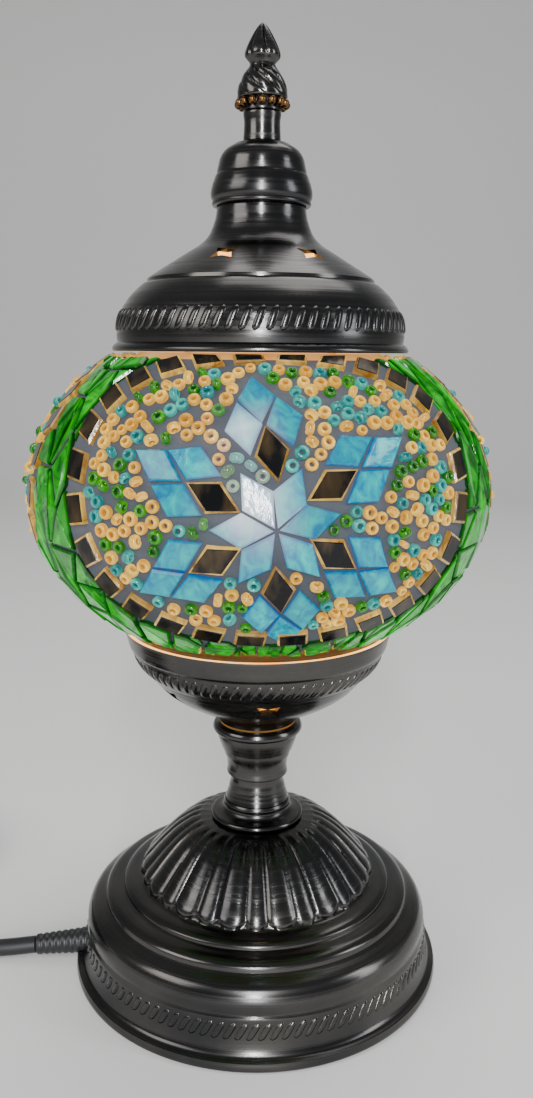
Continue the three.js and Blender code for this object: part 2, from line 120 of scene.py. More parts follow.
# The coil's middle, its first and last radius, and how much closer each turn lies.
COIL_X = -180.0
COIL_Y = 67.5
COIL_OUTER = 42.3
COIL_INNER = 26
COIL_PITCH = 6.5


# ---- building helpers
def metres(points):
    """Points in millimetres, as vectors in metres."""
    return [Vector(p) * MM for p in points]


def polar(radius, turn, height):
    """A point at a radius, a turn in radians and a height."""
    return (radius * sin(turn), -radius * cos(turn), height)


def ring_faces(first, rings, steps):
    """Faces that join each closed ring of points to the next one."""
    faces = []
    for i in range(rings - 1):
        for j in range(steps):
            a = first + i * steps + j
            b = first + i * steps + (j + 1) % steps
            faces.append((a, b, b + steps, a + steps))
    return faces


def closed_tube(first, rings, steps):
    """Faces that join rings of points, with a face over each end."""
    last = first + (rings - 1) * steps
    ends = [tuple(reversed(range(first, first + steps))), tuple(range(last, last + steps))]
    return ring_faces(first, rings, steps) + ends


def new_object(name, data):
    """An object of its own in the scene."""
    thing = bpy.data.objects.new(name, data)
    bpy.context.scene.collection.objects.link(thing)
    return thing


def new_mesh(name, points, faces, materials):
    """A mesh from points in millimetres."""
    mesh = bpy.data.meshes.new(name)
    mesh.from_pydata(metres(points), [], faces)
    for material in materials:
        mesh.materials.append(material)
    return mesh


def turn_outward(mesh, joined):
    """Turns a closed mesh's faces outward; points that meet are joined first if asked."""
    work = bmesh.new()
    work.from_mesh(mesh)
    if joined:
        bmesh.ops.remove_doubles(work, verts=work.verts, dist=1e-7)
    bmesh.ops.recalc_face_normals(work, faces=work.faces)
    work.to_mesh(mesh)
    work.free()


def add_piece(
    name, points, faces, materials, body, replaces=(), sharp=35, face_materials=None
):
    """One closed mesh piece that rides on a body."""
    mesh = new_mesh(name, points, faces, materials)
    if face_materials:
        mesh.polygons.foreach_set("material_index", face_materials)
    turn_outward(mesh, True)
    mesh.shade_smooth()
    mesh.set_sharp_from_angle(angle=radians(sharp))
    piece = new_object(name, mesh)
    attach(piece, body)
    if replaces:
        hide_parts(*replaces)
    return piece


def smooth_line(points, parts):
    """A smooth line through the points; a point given twice is a corner."""
    line = []
    for i in range(len(points) - 1):
        a, b = Vector(points[i]), Vector(points[i + 1])
        if (b - a).length < 1e-6:
            continue
        before = Vector(points[i - 1]) if i > 0 else a
        after = Vector(points[i + 2]) if i + 2 < len(points) else b
        reach = (b - a).length
        start = (b - before).normalized() * reach if (a - before).length > 1e-6 else b - a
        end = (after - a).normalized() * reach if (after - b).length > 1e-6 else b - a
        for k in range(parts):
            t = k / parts
            line.append(
                a * (2 * t**3 - 3 * t**2 + 1)
                + start * (t**3 - 2 * t**2 + t) * 0.9
                + b * (3 * t**2 - 2 * t**3)
                + end * (t**3 - t**2) * 0.9
            )
    line.append(Vector(points[-1]))
    return [tuple(p) for p in line]


def spun(outside, inside, steps, relief=None):
    """Points and faces of a closed outline turned round the axis, and which faces are inside.

    relief, if given, says how far an outside point stands proud at a radius, a height and a turn.
    """
    outline = list(outside) + list(inside)
    rows = len(outline)
    points, faces, inner = [], [], []
    for k in range(steps):
        turn = tau * k / steps
        for i, (radius, height) in enumerate(outline):
            if relief and i < len(outside):
                radius += relief(radius, height, degrees(turn))
            points.append(polar(radius, turn, height))
    for k in range(steps):
        here, there = k * rows, ((k + 1) % steps) * rows
        for i in range(rows):
            j = (i + 1) % rows
            faces.append((here + i, there + i, there + j, here + j))
            inner.append(1 if i >= len(outside) - 1 else 0)
    return points, faces, inner


def spun_piece(
    name, outside, inside, body, node, materials, steps=ROUND_STEPS, relief=None
):
    """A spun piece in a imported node's place; a second material goes on its inside."""
    points, faces, inner = spun(outside, inside, steps, relief)
    if len(materials) == 1:
        inner = None
    return add_piece(name, points, faces, materials, body, (node,), 40, inner)


def radius_at(outline, height):
    """The outline's radius at a height, on its first stretch that crosses it."""
    for (r0, z0), (r1, z1) in zip(outline, outline[1:]):
        if min(z0, z1) <= height <= max(z0, z1) and z0 != z1:
            return r0 + (r1 - r0) * (height - z0) / (z1 - z0)
    return outline[-1][0]


def rope_band(name, outline, count, low, high, lean, width, proud, body, metal):
    """A band of slanted closed grains that stand proud of a spun piece's outline."""
    points, faces = [], []
    stations, across, sunk = 9, 7, 0.2
    for n in range(count):
        first = len(points)
        for i in range(stations):
            t = -1 + 2 * i / (stations - 1)
            height = (low + high) / 2 + t * (high - low) / 2
            size = sqrt(max(0.0, 1 - t**4)) + 0.02
            base = radius_at(outline, height)
            for j in range(across):
                swing = -pi / 2 + pi * j / (across - 1)
                radius = base - sunk + (proud + sunk) * size * cos(swing)
                turn = radians(360 * n / count + lean * t)
                turn += width / 2 * size * sin(swing) / base
                points.append(polar(radius, turn, height))
        faces += closed_tube(first, stations, across)
    return add_piece(name, points, faces, [metal], body, (), 80)


# ---- material helpers
def new_material(name, color, roughness, metallic=0.0):
    """A material with its shader, ready for more nodes."""
    material = bpy.data.materials.new(name)
    material.use_nodes = True
    material.diffuse_color = (*color, 1)
    shader = material.node_tree.nodes["Principled BSDF"]
    shader.inputs["Base Color"].default_value = (*color, 1)
    shader.inputs["Roughness"].default_value = roughness
    shader.inputs["Metallic"].default_value = metallic
    return material, material.node_tree, shader


def feed(node, inputs):
    """Sets a node's inputs to values, or links them where they are sockets."""
    for name, value in inputs.items():
        if isinstance(value, bpy.types.NodeSocket):
            node.id_data.links.new(value, node.inputs[name])
        else:
            node.inputs[name].default_value = value


def new_node(tree, kind, inputs):
    """A shader node with its inputs set."""
    node = tree.nodes.new("ShaderNode" + kind)
    feed(node, inputs)
    return node


def noise(tree, scale, detail=3.0, stretch=(1, 1, 1), distortion=0.0):
    """Noise over the object's own coordinates."""
    place = new_node(tree, "TexCoord", {})
    mapping = new_node(tree, "Mapping", {"Vector": place.outputs["Object"], "Scale": stretch})
    vector = mapping.outputs["Vector"]
    looks = {"Vector": vector, "Scale": scale, "Detail": detail, "Distortion": distortion}
    return new_node(tree, "TexNoise", looks).outputs["Fac"]


def ramp(tree, factor, *stops):
    """Colours along a factor, from (position, colour) stops."""
    node = new_node(tree, "ValToRGB", {"Fac": factor})
    for element, (position, color) in zip(node.color_ramp.elements, stops):
        element.position = position
        element.color = (*color, 1)
    return node.outputs["Color"]


def between(tree, factor, low, high):
    """A number from low to high over the middle of a noise's range."""
    limits = {"From Min": 0.3, "From Max": 0.7, "To Min": low, "To Max": high}
    return new_node(tree, "MapRange", {"Value": factor, **limits}).outputs["Result"]


def bump(tree, shader, height, strength, depth):
    """Fine relief, depth in metres."""
    node = new_node(tree, "Bump", {"Height": height, "Strength": strength, "Distance": depth})
    feed(shader, {"Normal": node.outputs["Normal"]})


def mix(tree, factor, first, second):
    """One colour into another; colours are sockets or plain values."""
    node = tree.nodes.new("ShaderNodeMix")
    node.data_type = "RGBA"
    tree.links.new(factor, node.inputs["Factor"])
    for socket, value in (("A", first), ("B", second)):
        target = [s for s in node.inputs if s.name == socket and s.type == "RGBA"][0]
        if isinstance(value, tuple):
            target.default_value = (*value, 1)
        else:
            tree.links.new(value, target)
    return [s for s in node.outputs if s.type == "RGBA"][0]


def lathe_lines(tree, scale):
    """Fine rings round the lamp's axis, from the distance to it and the height."""
    place = new_node(tree, "TexCoord", {})
    split = new_node(tree, "SeparateXYZ", {"Vector": place.outputs["Object"]})
    flat = new_node(tree, "CombineXYZ", {"X": split.outputs["X"], "Y": split.outputs["Y"]})
    reach = new_node(tree, "VectorMath", {0: flat.outputs["Vector"]})
    reach.operation = "LENGTH"
    ring = new_node(tree, "CombineXYZ", {"X": reach.outputs["Value"], "Z": split.outputs["Z"]})
    looks = {"Vector": ring.outputs["Vector"], "Scale": scale, "Detail": 4.0}
    return new_node(tree, "TexNoise", looks).outputs["Fac"]


# ---- materials
def dark_metal():
    """Nickel turned dark, with fine lathe lines and faint clouds."""
    material, tree, shader = new_material("dark_nickel", (0.035, 0.031, 0.029), 0.2, 1.0)
    lines = lathe_lines(tree, 900)
    clouds = noise(tree, 26, 4)
    tint = ramp(tree, clouds, (0.3, (0.045, 0.045, 0.048)), (0.62, (0.09, 0.085, 0.08)))
    feed(shader, {"Base Color": tint, "Roughness": between(tree, lines, 0.12, 0.32)})
    bump(tree, shader, lines, 0.32, 0.0002)
    return material


def painted_lamplight():
    """The inside of the cap and the cup, with the bulb's light painted on as an orange glow."""
    material, tree, shader = new_material("painted_lamplight_inside", (0.75, 0.42, 0.14), 0.45, 1.0)
    patches = noise(tree, 45, 3)
    glow = ramp(tree, patches, (0.3, (1.0, 0.36, 0.05)), (0.66, (1.0, 0.62, 0.2)))
    # Painted light: an emission that stands in for the bulb's light on the inside metal.
    feed(shader, {"Emission Color": glow, "Emission Strength": 2.6})
    return material


def shade(color, share):
    """A share of a colour."""
    return tuple(part * share for part in color)


def glass_material(name, deep, plain, light, strength, roughness=0.07, ripple=240):
    """Glass lit from behind: deep at its edges, lighter in its ripples, painted white where the bulb shows
    through.
    """
    material, tree, shader = new_material(name, plain, roughness)
    marks = new_node(tree, "Attribute", {})
    marks.attribute_name = "light"
    parts = new_node(tree, "SeparateColor", {"Color": marks.outputs["Color"]})
    ripples = noise(tree, ripple, 4, (1, 1, 0.7), 1.2)
    body = ramp(tree, ripples, (0.32, plain), (0.68, light))
    edged = mix(tree, parts.outputs["Green"], body, deep)
    varied = mix(tree, parts.outputs["Blue"], edged, shade(plain, 0.45))
    # The red mark paints a white spot where the bulb shows through the glass.
    with_bulb_spot = mix(tree, parts.outputs["Red"], varied, (1.0, 1.0, 1.0))
    unlit = ramp(tree, ripples, (0.32, shade(deep, 0.5)), (0.68, shade(plain, 0.3)))
    feed(shader, {"Base Color": unlit, "Emission Color": with_bulb_spot, "Emission Strength": strength})
    bump(tree, shader, ripples, 0.35, 0.0004)
    return material


def mirror_material():
    """Dark mirror glass, a little clouded."""
    material, tree, shader = new_material("mirror_face", (0.02, 0.018, 0.016), 0.08, 0.6)
    clouds = noise(tree, 140, 3, (1, 1, 0.4))
    face = ramp(tree, clouds, (0.45, (0.01, 0.01, 0.011)), (0.7, (0.1, 0.065, 0.03)))
    feed(shader, {"Base Color": face, "Roughness": between(tree, clouds, 0.05, 0.16)})
    return material


def grout_material():
    """Grainy grey grout that lets a little light through, shown as a faint painted glow."""
    material, tree, shader = new_material("grey_grout", (0.13, 0.145, 0.175), 0.8)
    grain = noise(tree, 900, 5)
    clouds = noise(tree, 30, 3)
    tint = ramp(tree, clouds, (0.3, (0.035, 0.042, 0.055)), (0.7, (0.07, 0.076, 0.09)))
    # Painted light: a faint glow in the grout's own tint.
    feed(shader, {"Base Color": tint, "Emission Color": tint, "Emission Strength": 0.25})
    bump(tree, shader, grain, 0.5, 0.0004)
    return material


def cord_material():
    """Black cord rubber, half dull."""
    material, tree, shader = new_material("black_cord", (0.012, 0.012, 0.013), 0.38)
    grain = noise(tree, 1500, 3)
    feed(shader, {"Roughness": between(tree, grain, 0.32, 0.46)})
    bump(tree, shader, grain, 0.15, 0.0001)
    return material


def grained(name, dark, light, scale, low, high, metallic=0.0, relief=0.3, depth=0.0002):
    """A plain material with its own grain, for the parts inside and underneath."""
    material, tree, shader = new_material(name, dark, low, metallic)
    grain = noise(tree, scale, 5)
    tint = ramp(tree, grain, (0.34, dark), (0.66, light))
    feed(shader, {"Base Color": tint, "Roughness": between(tree, grain, low, high)})
    bump(tree, shader, grain, relief, depth)
    return material


def lit_glass(name, color, bright, strength):
    """Glass that gives off light, a little uneven."""
    material, tree, shader = new_material(name, shade(color, 0.5), 0.25)
    clouds = noise(tree, 60, 2)
    glow = ramp(tree, clouds, (0.3, color), (0.7, bright))
    feed(shader, {"Emission Color": glow, "Emission Strength": strength})
    return material


NICKEL = dark_metal()
# Painted glow of the bulb's light, for the insides of the cap and the cup.
PAINTED_LAMPLIGHT = painted_lamplight()
GROUT = grout_material()
MIRROR = mirror_material()
CORD = cord_material()
TURQUOISE = glass_material(
    "turquoise_glass", (0.0, 0.04, 0.24), (0.0, 0.27, 0.29), (0.0, 0.7, 0.6), 1.25
)
GREEN = glass_material(
    "green_glass", (0.0, 0.01, 0.0), (0.0, 0.09, 0.001), (0.005, 0.72, 0.006), 1.4, 0.07, 170
)
AMBER = glass_material("amber_glass", (0.2, 0.06, 0.002), (0.75, 0.34, 0.015), (1.0, 0.74, 0.15), 1.5)
AQUA = glass_material("aqua_glass", (0.0, 0.04, 0.06), (0.0, 0.2, 0.19), (0.1, 0.72, 0.54), 1.2)
LEAF = glass_material("leaf_glass", (0.0, 0.02, 0.0), (0.005, 0.1, 0.001), (0.07, 0.5, 0.004), 1.25)
GOLD_EDGE = glass_material(
    "gold_edge", (0.2, 0.08, 0.004), (0.12, 0.045, 0.002), (1.0, 0.68, 0.16), 1.5, 0.12, 190
)

STEEL = grained("zinc_steel", (0.38, 0.38, 0.37), (0.52, 0.52, 0.5), 700, 0.3, 0.5, 1.0)
IRON = grained(
    "cast_iron", (0.05, 0.048, 0.046), (0.11, 0.105, 0.1), 300, 0.6, 0.85, 0.6, 0.6, 0.0006
)
FELT = grained(
    "wool_felt", (0.012, 0.012, 0.014), (0.035, 0.035, 0.04), 1400, 0.9, 1.0, 0.0, 0.8, 0.0005
)
BOARD = grained("fibre_board", (0.22, 0.15, 0.09), (0.36, 0.27, 0.17), 600, 0.75, 0.95)
CERAMIC = grained("socket_thermoset", (0.6, 0.58, 0.52), (0.72, 0.7, 0.64), 90, 0.25, 0.4, 0.0, 0.1)
BRASS = grained("plain_brass", (0.55, 0.36, 0.12), (0.8, 0.56, 0.22), 500, 0.2, 0.38, 1.0, 0.15)
BRONZE = grained("dark_bronze", (0.09, 0.045, 0.016), (0.2, 0.1, 0.035), 500, 0.18, 0.34, 1.0, 0.15)
MOULDED = grained("moulded_black", (0.011, 0.011, 0.012), (0.022, 0.022, 0.024), 1100, 0.36, 0.52)
BROWN = grained("brown_lead", (0.1, 0.04, 0.015), (0.15, 0.06, 0.025), 400, 0.35, 0.5)
BLUE = grained("blue_lead", (0.015, 0.06, 0.24), (0.03, 0.1, 0.34), 400, 0.35, 0.5)
MILKY = lit_glass("milky_glass", (0.9, 0.36, 0.06), (1.0, 0.7, 0.3), 0.7)
BULB = lit_glass("lit_bulb_glass", (1.0, 0.82, 0.55), (1.0, 0.93, 0.8), 6.0)
FILAMENT = lit_glass("hot_filament", (1.0, 0.6, 0.2), (1.0, 0.8, 0.5), 20.0)


# ---- spun metal
BASE_OUTSIDE = [
    (68.2, 0.3), (69.6, 0.7), (70, 1.8), (69.6, 3.8), (69.6, 3.8), (67.4, 5), (66.2, 8), (65.6, 12),
    (65.5, 16.5), (64.9, 18.4), (64.9, 18.4), (65.2, 20.4), (64.9, 23), (63, 26.6), (58.8, 29),
    (58.2, 29.4), (58.2, 29.4), (57.6, 31.2), (55.6, 32.4), (52, 33), (51.2, 33.2), (51.2, 33.2),
    (50.8, 34.4), (49, 35.4), (45.4, 36), (44.9, 36.2), (44.9, 36.2),
]
DOME_OUTSIDE = [
    (44.9, 36.2), (43.9, 38), (42.4, 40.2), (40.3, 42.6), (37.4, 46), (34.2, 49.4), (30.7, 52.8),
    (27.2, 55.4), (24.4, 57.2), (21.8, 58.4), (21.8, 58.4),
]
BASE_INSIDE = [
    (5.4, 58.4), (5.4, 56.9), (21.4, 56.7), (29.6, 51.6), (36.6, 44.2), (42.4, 34.8), (56.6, 28.2),
    (63.4, 22), (64, 10), (66.2, 3.6), (66.2, 0.3),
]
COLLAR = [
    (16.6, 58.7), (16.6, 58.7), (17.4, 59.1), (17.6, 59.9), (17.1, 60.7), (15.6, 61), (15.6, 61),
    (13.9, 61.4), (12.8, 62.3), (12.4, 63.5), (12.7, 64.7), (12.2, 65.8), (12.2, 65.8),
]
BELL = [
    (12, 66.1), (12, 66.1), (11.6, 67.3), (10.9, 69.6), (10.4, 71.8), (10, 73.6), (10, 75.6),
    (10, 75.6),
]
SLEEVE = [
    (10.9, 75.9), (11.5, 76.4), (11.5, 77.2), (11.3, 78.6), (11.4, 80.4), (11.8, 82.4), (12.5, 84.4),
    (12.9, 86.2), (12.9, 86.2),
]
KNOB = [
    (13.4, 86.5), (13.4, 86.5), (14, 88.2), (14.9, 91), (15.3, 93.1), (15.3, 93.1), (16.2, 93.4),
    (16.8, 94.2), (16.8, 95.2), (16.1, 96.5), (13.9, 97.4), (13.9, 97.4),
]
CUP_OUTSIDE = [
    (14.4, 97.7), (14.4, 97.7), (15.4, 99.7), (20.4, 102.9), (26.4, 106), (31.8, 109.2), (36.4, 113),
    (39.8, 117), (40.2, 117.6), (40.2, 117.6), (41.8, 119.2), (44.2, 122), (45.9, 125.4), (46.2, 126.6),
    (46.2, 126.6), (47.4, 128), (48.2, 131), (49, 134), (49, 134.6), (49, 134.6),
]
CUP_INSIDE = [
    (47.6, 134.6), (46.8, 132.4), (44.4, 125.8), (42.8, 122.6), (38.4, 117.8), (30.6, 110.4),
    (19.6, 104.5), (13.6, 100.6), (12.9, 99.2), (5.4, 99.2), (5.4, 97.7),
]
CAP_OUTSIDE = [
    (49.8, 233.3), (51.2, 233.3), (51.5, 234.2), (50.9, 235.2), (49.7, 236.2), (49.7, 236.2),
    (49.9, 238.4), (49.7, 241.6), (49, 245), (47.2, 248.6), (44.4, 252.3), (40.8, 255.6), (39.4, 256.4),
    (39.4, 256.4), (39.1, 257.5), (39.1, 257.5), (36, 259.6), (32, 262.1), (26.1, 265.8), (21, 269),
    (18.2, 271.8), (16.6, 275.2), (15.6, 278.6), (15.2, 281.4), (15.2, 281.4), (4.2, 281.4),
]
CAP_INSIDE = [
    (4.2, 279.9), (13.6, 279.6), (14.9, 275), (17, 271.2), (24.8, 265), (31, 260.9), (37.6, 255.7),
    (42.4, 251.8), (45.8, 247.4), (47.9, 243), (48.2, 236.4), (49.8, 235),
]
CROWN_OUTSIDE = [
    (15.3, 281.7), (16.6, 281.7), (17, 282.5), (16.7, 283.4), (16.7, 283.4), (17.3, 284.6), (17.3, 286.6),
    (16.7, 289), (15.8, 291.4), (15.4, 292), (15.4, 292), (14.9, 294.6), (14.2, 297.2), (12.6, 299.6),
    (9.2, 301.8), (9.2, 301.8), (4.2, 301.8),
]
CROWN_INSIDE = [(4.2, 300.2), (8.8, 300.2), (12, 297.6), (13.8, 293.6), (15.5, 287)]
NECK_OUTSIDE = [
    (5.6, 302.1), (6.4, 302.6), (6.4, 302.6), (6.2, 306), (6.1, 309), (6.4, 311.5), (6, 311.9),
]
NECK_INSIDE = [(4.2, 311.9), (4.2, 302.1)]
FINIAL = [
    (6.5, 312.2), (6.5, 312.2), (6.6, 315.9), (6.6, 315.9), (8.1, 315.9), (8.5, 316.6), (8.4, 318.4),
    (7.8, 320.8), (6.4, 323.6), (4.7, 325.8), (4.2, 327), (4.2, 327), (4.9, 327.9), (5.9, 329), (6, 330.2),
    (5.3, 332.2), (4.1, 334.6), (2.7, 337), (1.3, 338.9), (0, 340),
]
FINIAL_INSIDE = [(0, 321.2), (5.1, 321.2), (5.1, 312.2)]


def wave(turn, count):
    """The place inside one of count equal parts round the lamp, from -1 to 1."""
    part = 360 / count
    return ((turn + part / 2) % part - part / 2) / (part / 2)


def dome_relief(radius, height, turn):
    """Narrow ribs with wide rounded lobes between them, both with round ends."""
    if height < 36.3 or radius < 21.6:
        return 0.0
    along = (RIB_OUTER - radius) / (RIB_OUTER - RIB_INNER)
    across = abs(wave(turn - 0.8, RIBS))
    outer_end = max(0.0, 1 - along / 0.09)
    inner_end = max(0.0, (along - 0.84) / 0.14)
    # A rib takes up 0.42 of a part's half, a groove 0.02, and a lobe's half the rest.
    if across < 0.42:
        side = across / 0.42
        rise = sqrt(max(0.0, 1 - side**2 - outer_end**2 - (inner_end * 0.8) ** 2))
        return 1.25 * rise - 0.55
    side = (1 - across) / 0.56
    rise = sqrt(max(0.0, 1 - side**2 - outer_end**2 - inner_end**2))
    return 1.5 * rise - 0.55


def finial_relief(radius, height, turn):
    """Twisted folds on the lower bell, and pointed leaves on the bud above it."""
    for (low, high), depth, round_end, folds, twist in (
        (FOLDS, 0.9, 1.0, 4, 9), (LEAVES, 0.85, 0.6, 3, 1.5),
    ):
        if low < height < high:
            fade = sin(pi * (height - low) / (high - low)) ** round_end
            ridge = abs(cos(radians(folds * (turn + twist * height))))
            return -depth * fade * (1 - ridge) ** 2
    return 0.0


def star_cutters(count, radius, height, lean, first, half_length):
    """Prisms of four-pointed stars round the axis, to pierce a spun shell."""
    outline = []
    for i in range(8):
        angle = radians(45 * i + 45)
        reach = STAR_POINT if i % 2 == 0 else STAR_NOTCH
        outline.append((reach * cos(angle), STAR_SQUASH * reach * sin(angle)))
    points, faces = [], []
    for n in range(count):
        start = len(points)
        turn = Matrix.Rotation(radians(first + 360 * n / count), 3, "Z")
        tip = Matrix.Rotation(radians(lean), 3, "X")
        for depth in (-half_length, half_length):
            for x, y in outline:
                flat = tip @ Vector((x, y, depth))
                points.append(turn @ (flat + Vector((0, -radius, height))))
        faces += closed_tube(start, 2, 8)
    mesh = new_mesh("cutters", points, faces, [NICKEL])
    turn_outward(mesh, False)
    return new_object("cutters", mesh)


def pierce(piece, cutters):
    """Cuts the star holes, and leaves no modifier and no cutter behind."""
    modifier = piece.modifiers.new("holes", "BOOLEAN")
    modifier.operation = "DIFFERENCE"
    modifier.solver = "EXACT"
    modifier.object = cutters
    bpy.context.view_layer.update()
    graph = bpy.context.evaluated_depsgraph_get()
    cut = bpy.data.meshes.new_from_object(piece.evaluated_get(graph))
    piece.modifiers.clear()
    piece.data = cut
    cut.set_sharp_from_angle(angle=radians(40))
    bpy.data.objects.remove(cutters)


def add_base():
    """The base shell with its ribbed dome and its rope band."""
    outside = smooth_line(BASE_OUTSIDE, 5)
    dome = smooth_line(DOME_OUTSIDE, 4)
    spun_piece(
        "base_dome", outside + dome, BASE_INSIDE, "lamp_base", "base_shell", [NICKEL],
        steps=FINE_STEPS, relief=dome_relief,
    )
    rope_band("base_rope", outside, 104, 9.4, 16.2, 1.6, 2.7, 0.5, "lamp_base", NICKEL)


def add_stem():
    """The four turned pieces between the base and the cup."""
    for name, node, outline in (
        ("collar", "stem_collar", COLLAR), ("bell", "stem_bell", BELL),
        ("sleeve", "stem_sleeve", SLEEVE), ("knob", "stem_knob", KNOB),
    ):
        top, bottom = outline[-1][1], outline[0][1]
        bore = [(5.4, top), (5.4, bottom)]
        spun_piece("turned_" + name, smooth_line(outline, 5), bore, "lamp_base", node, [NICKEL])


def add_cup():
    """The lower cup, pierced by six stars, with its rope band."""
    outside = smooth_line(CUP_OUTSIDE, 5)
    cup = spun_piece("cup_shell", outside, CUP_INSIDE, "lamp_base", "lower_cup", [NICKEL, PAINTED_LAMPLIGHT])
    pierce(cup, star_cutters(6, 36.5, 113.4, -42, 6, 6))
    rope_band("cup_rope", outside, 76, 118.6, 125.8, 1.9, 2.6, 0.5, "lamp_base", NICKEL)


def add_cap():
    """The top cap, pierced by six stars, with its rope band, its crown bell and its neck."""
    outside = smooth_line(CAP_OUTSIDE, 5)
    cap = spun_piece("cap_shell", outside, CAP_INSIDE, "cap", "top_cap", [NICKEL, PAINTED_LAMPLIGHT])
    pierce(cap, star_cutters(6, 28, 264.6, 33, -24.6, 6))
    rope_band("cap_rope", outside, 74, 239.4, 247.6, 1.7, 2.9, 0.6, "cap", NICKEL)
    crown = smooth_line(CROWN_OUTSIDE, 4)
    spun_piece("crown_shell", crown, CROWN_INSIDE, "cap", "crown_bell", [NICKEL])
    neck = smooth_line(NECK_OUTSIDE, 4)
    spun_piece("neck_shell", neck, NECK_INSIDE, "cap", "neck_tube", [NICKEL])


def add_finial():
    """The finial's casting, and the ring of beads round its foot."""
    spun_piece(
        "finial_bud", smooth_line(FINIAL, 5), FINIAL_INSIDE, "finial", "finial", [NICKEL],
        steps=180, relief=finial_relief,
    )
    points, faces = [], []
    for n in range(15):
        turn = radians(24 * n)
        add_ball(points, faces, Vector(polar(8, turn, 314.4)), 1.45, 10, 7)
    add_piece(
        "finial_beads", points, faces, [BRONZE], "finial", ("finial_bead_ring",), 80
    )


def add_ball(points, faces, middle, radius, steps, rings):
    """Adds a ball to a piece's points and faces."""
    first = len(points)
    for i in range(rings + 1):
        lift = pi * i / rings
        for k in range(steps):
            turn = tau * k / steps
            away = (sin(lift) * cos(turn), sin(lift) * sin(turn), cos(lift))
            points.append(middle + Vector(away) * radius)
    faces += ring_faces(first, rings + 1, steps)


# ---- mosaic
def side_table():
    """Distances up the globe's side from its middle, one for each half degree."""
    table = {0: 0.0}
    for sign, rise in ((1, GROUT_RISE), (-1, GROUT_FALL)):
        distance = 0.0
        for i in range(SIDE_STEPS):
            a, b = radians(i / 2), radians((i + 1) / 2)
            across = GROUT_RADIUS * (cos(a) - cos(b))
            distance += hypot(across, rise * (sin(b) - sin(a)))
            table[sign * (i + 1)] = sign * distance
    return table


SIDE = side_table()


def side_angle(up):
    """The angle, in radians, at a distance up the globe's side."""
    low, high = -SIDE_STEPS, SIDE_STEPS
    while high - low > 1:
        middle = (low + high) // 2
        if SIDE[middle] <= up:
            low = middle
        else:
            high = middle
    share = (up - SIDE[low]) / (SIDE[high] - SIDE[low])
    return radians((low + min(1.0, max(0.0, share))) / 2)


def globe_spot(medallion, across, up):
    """A point on the grout, from millimetres across and up from a star, with its axes."""
    angle = side_angle(up)
    reach = GROUT_RADIUS * cos(angle)
    turn = radians(medallion) + across / reach
    rise = GROUT_RISE if angle > 0 else GROUT_FALL
    spot = Vector(polar(reach, turn, GLOBE_MIDDLE + rise * sin(angle)))
    slope = cos(angle) / GROUT_RADIUS
    outward = Vector(polar(slope, turn, sin(angle) / rise)).normalized()
    right = Vector((cos(turn), sin(turn), 0))
    return spot, right, outward.cross(right), outward


class Glass:
    """Many pieces of one glass, gathered into one mesh, with how each point is lit.

    The light marks hold: how strong the painted bulb spot is, how near an edge, and the piece's own tone.
    """

    def __init__(self, rim=1.0):
        self.rim = rim
        self.points = []
        self.faces = []
        self.light = []

    def chip(self, medallion, corners, tone, proud, gap, bevel=0.6, with_bulb_spot=False):
        """A flat piece with bevelled edges, from its corners in millimetres on the globe.

        It starts inside the grout, stands proud of it and leaves a gap round its corners.
        """
        middle = sum((Vector(c) for c in corners), Vector((0, 0))) / len(corners)
        count = len(corners)
        first = len(self.points)
        rings = (gap, -GROUT_THICK, 1.0), (gap, proud - bevel, 1.0), (gap + bevel, proud, 0.35)
        for inset, height, rim in rings:
            for corner in corners:
                away = Vector(corner) - middle
                at = middle + away * max(0.1, 1 - inset * 1.5 / away.length)
                spot, _, _, outward = globe_spot(medallion, at.x, at.y)
                self.points.append(spot + outward * height)
                # The first light mark is the painted bulb spot, the second how near an edge, the third the
                # tone.
                self.light.append((painted_bulb_spot(at) if with_bulb_spot else 0.0, rim * self.rim, tone))
        top = self.points[-count:]
        self.points.append(sum(top, Vector((0, 0, 0))) / count)
        self.light.append((painted_bulb_spot(middle) if with_bulb_spot else 0.0, 0.0, tone))
        self.faces += ring_faces(first, 3, count)
        edge = first + 2 * count
        for i in range(count):
            self.faces.append((edge + i, edge + (i + 1) % count, edge + count))
        self.faces.append(tuple(first + i for i in reversed(range(count))))

    def bead(self, medallion, across, up, size, glow, tone, lying, swing):
        """A seed bead: a short glass ring, standing on the grout or lying on its side."""
        spot, right, upward, outward = globe_spot(medallion, across, up)
        first = len(self.points)
        steps, around = 12, 8
        if lying:
            axis = (right * cos(swing) + upward * sin(swing)).normalized()
            side = axis.cross(outward).normalized()
            forward = outward
            middle = spot + outward * size * 0.55
        else:
            axis, side, forward = outward, right, upward
            middle = spot + outward * 0.9
        hole, wall, length = size * 0.66, size * 0.34, size * 0.54
        for i in range(steps):
            turn = tau * i / steps
            out = side * cos(turn) + forward * sin(turn)
            for j in range(around):
                roll = tau * j / around
                radius = hole + wall * cos(roll)
                self.points.append(middle + out * radius + axis * length * sin(roll))
                rim = 0.95 * max(0.0, -cos(roll)) + 0.8 * max(0.0, cos(roll) - 0.35)
                self.light.append((glow, rim, tone))
        for i in range(steps):
            here = first + i * around
            there = first + ((i + 1) % steps) * around
            for j in range(around):
                k = (j + 1) % around
                self.faces.append((here + j, there + j, there + k, here + k))

    def build(self, name, material, sharp):
        """The one mesh of all the pieces, on the globe."""
        mesh = new_mesh(name, self.points, self.faces, [material])
        marks = mesh.color_attributes.new("light", "FLOAT_COLOR", "POINT")
        for mark, value in zip(marks.data, self.light):
            mark.color = (*value, 1)
        mesh.shade_smooth()
        mesh.set_sharp_from_angle(angle=radians(sharp))
        piece = new_object(name, mesh)
        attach(piece, "globe")
        return piece


def turned_point(direction, distance):
    """A point on the flat mosaic at a distance in a direction, in degrees from its right."""
    angle = radians(direction)
    return Vector((cos(angle), sin(angle))) * distance


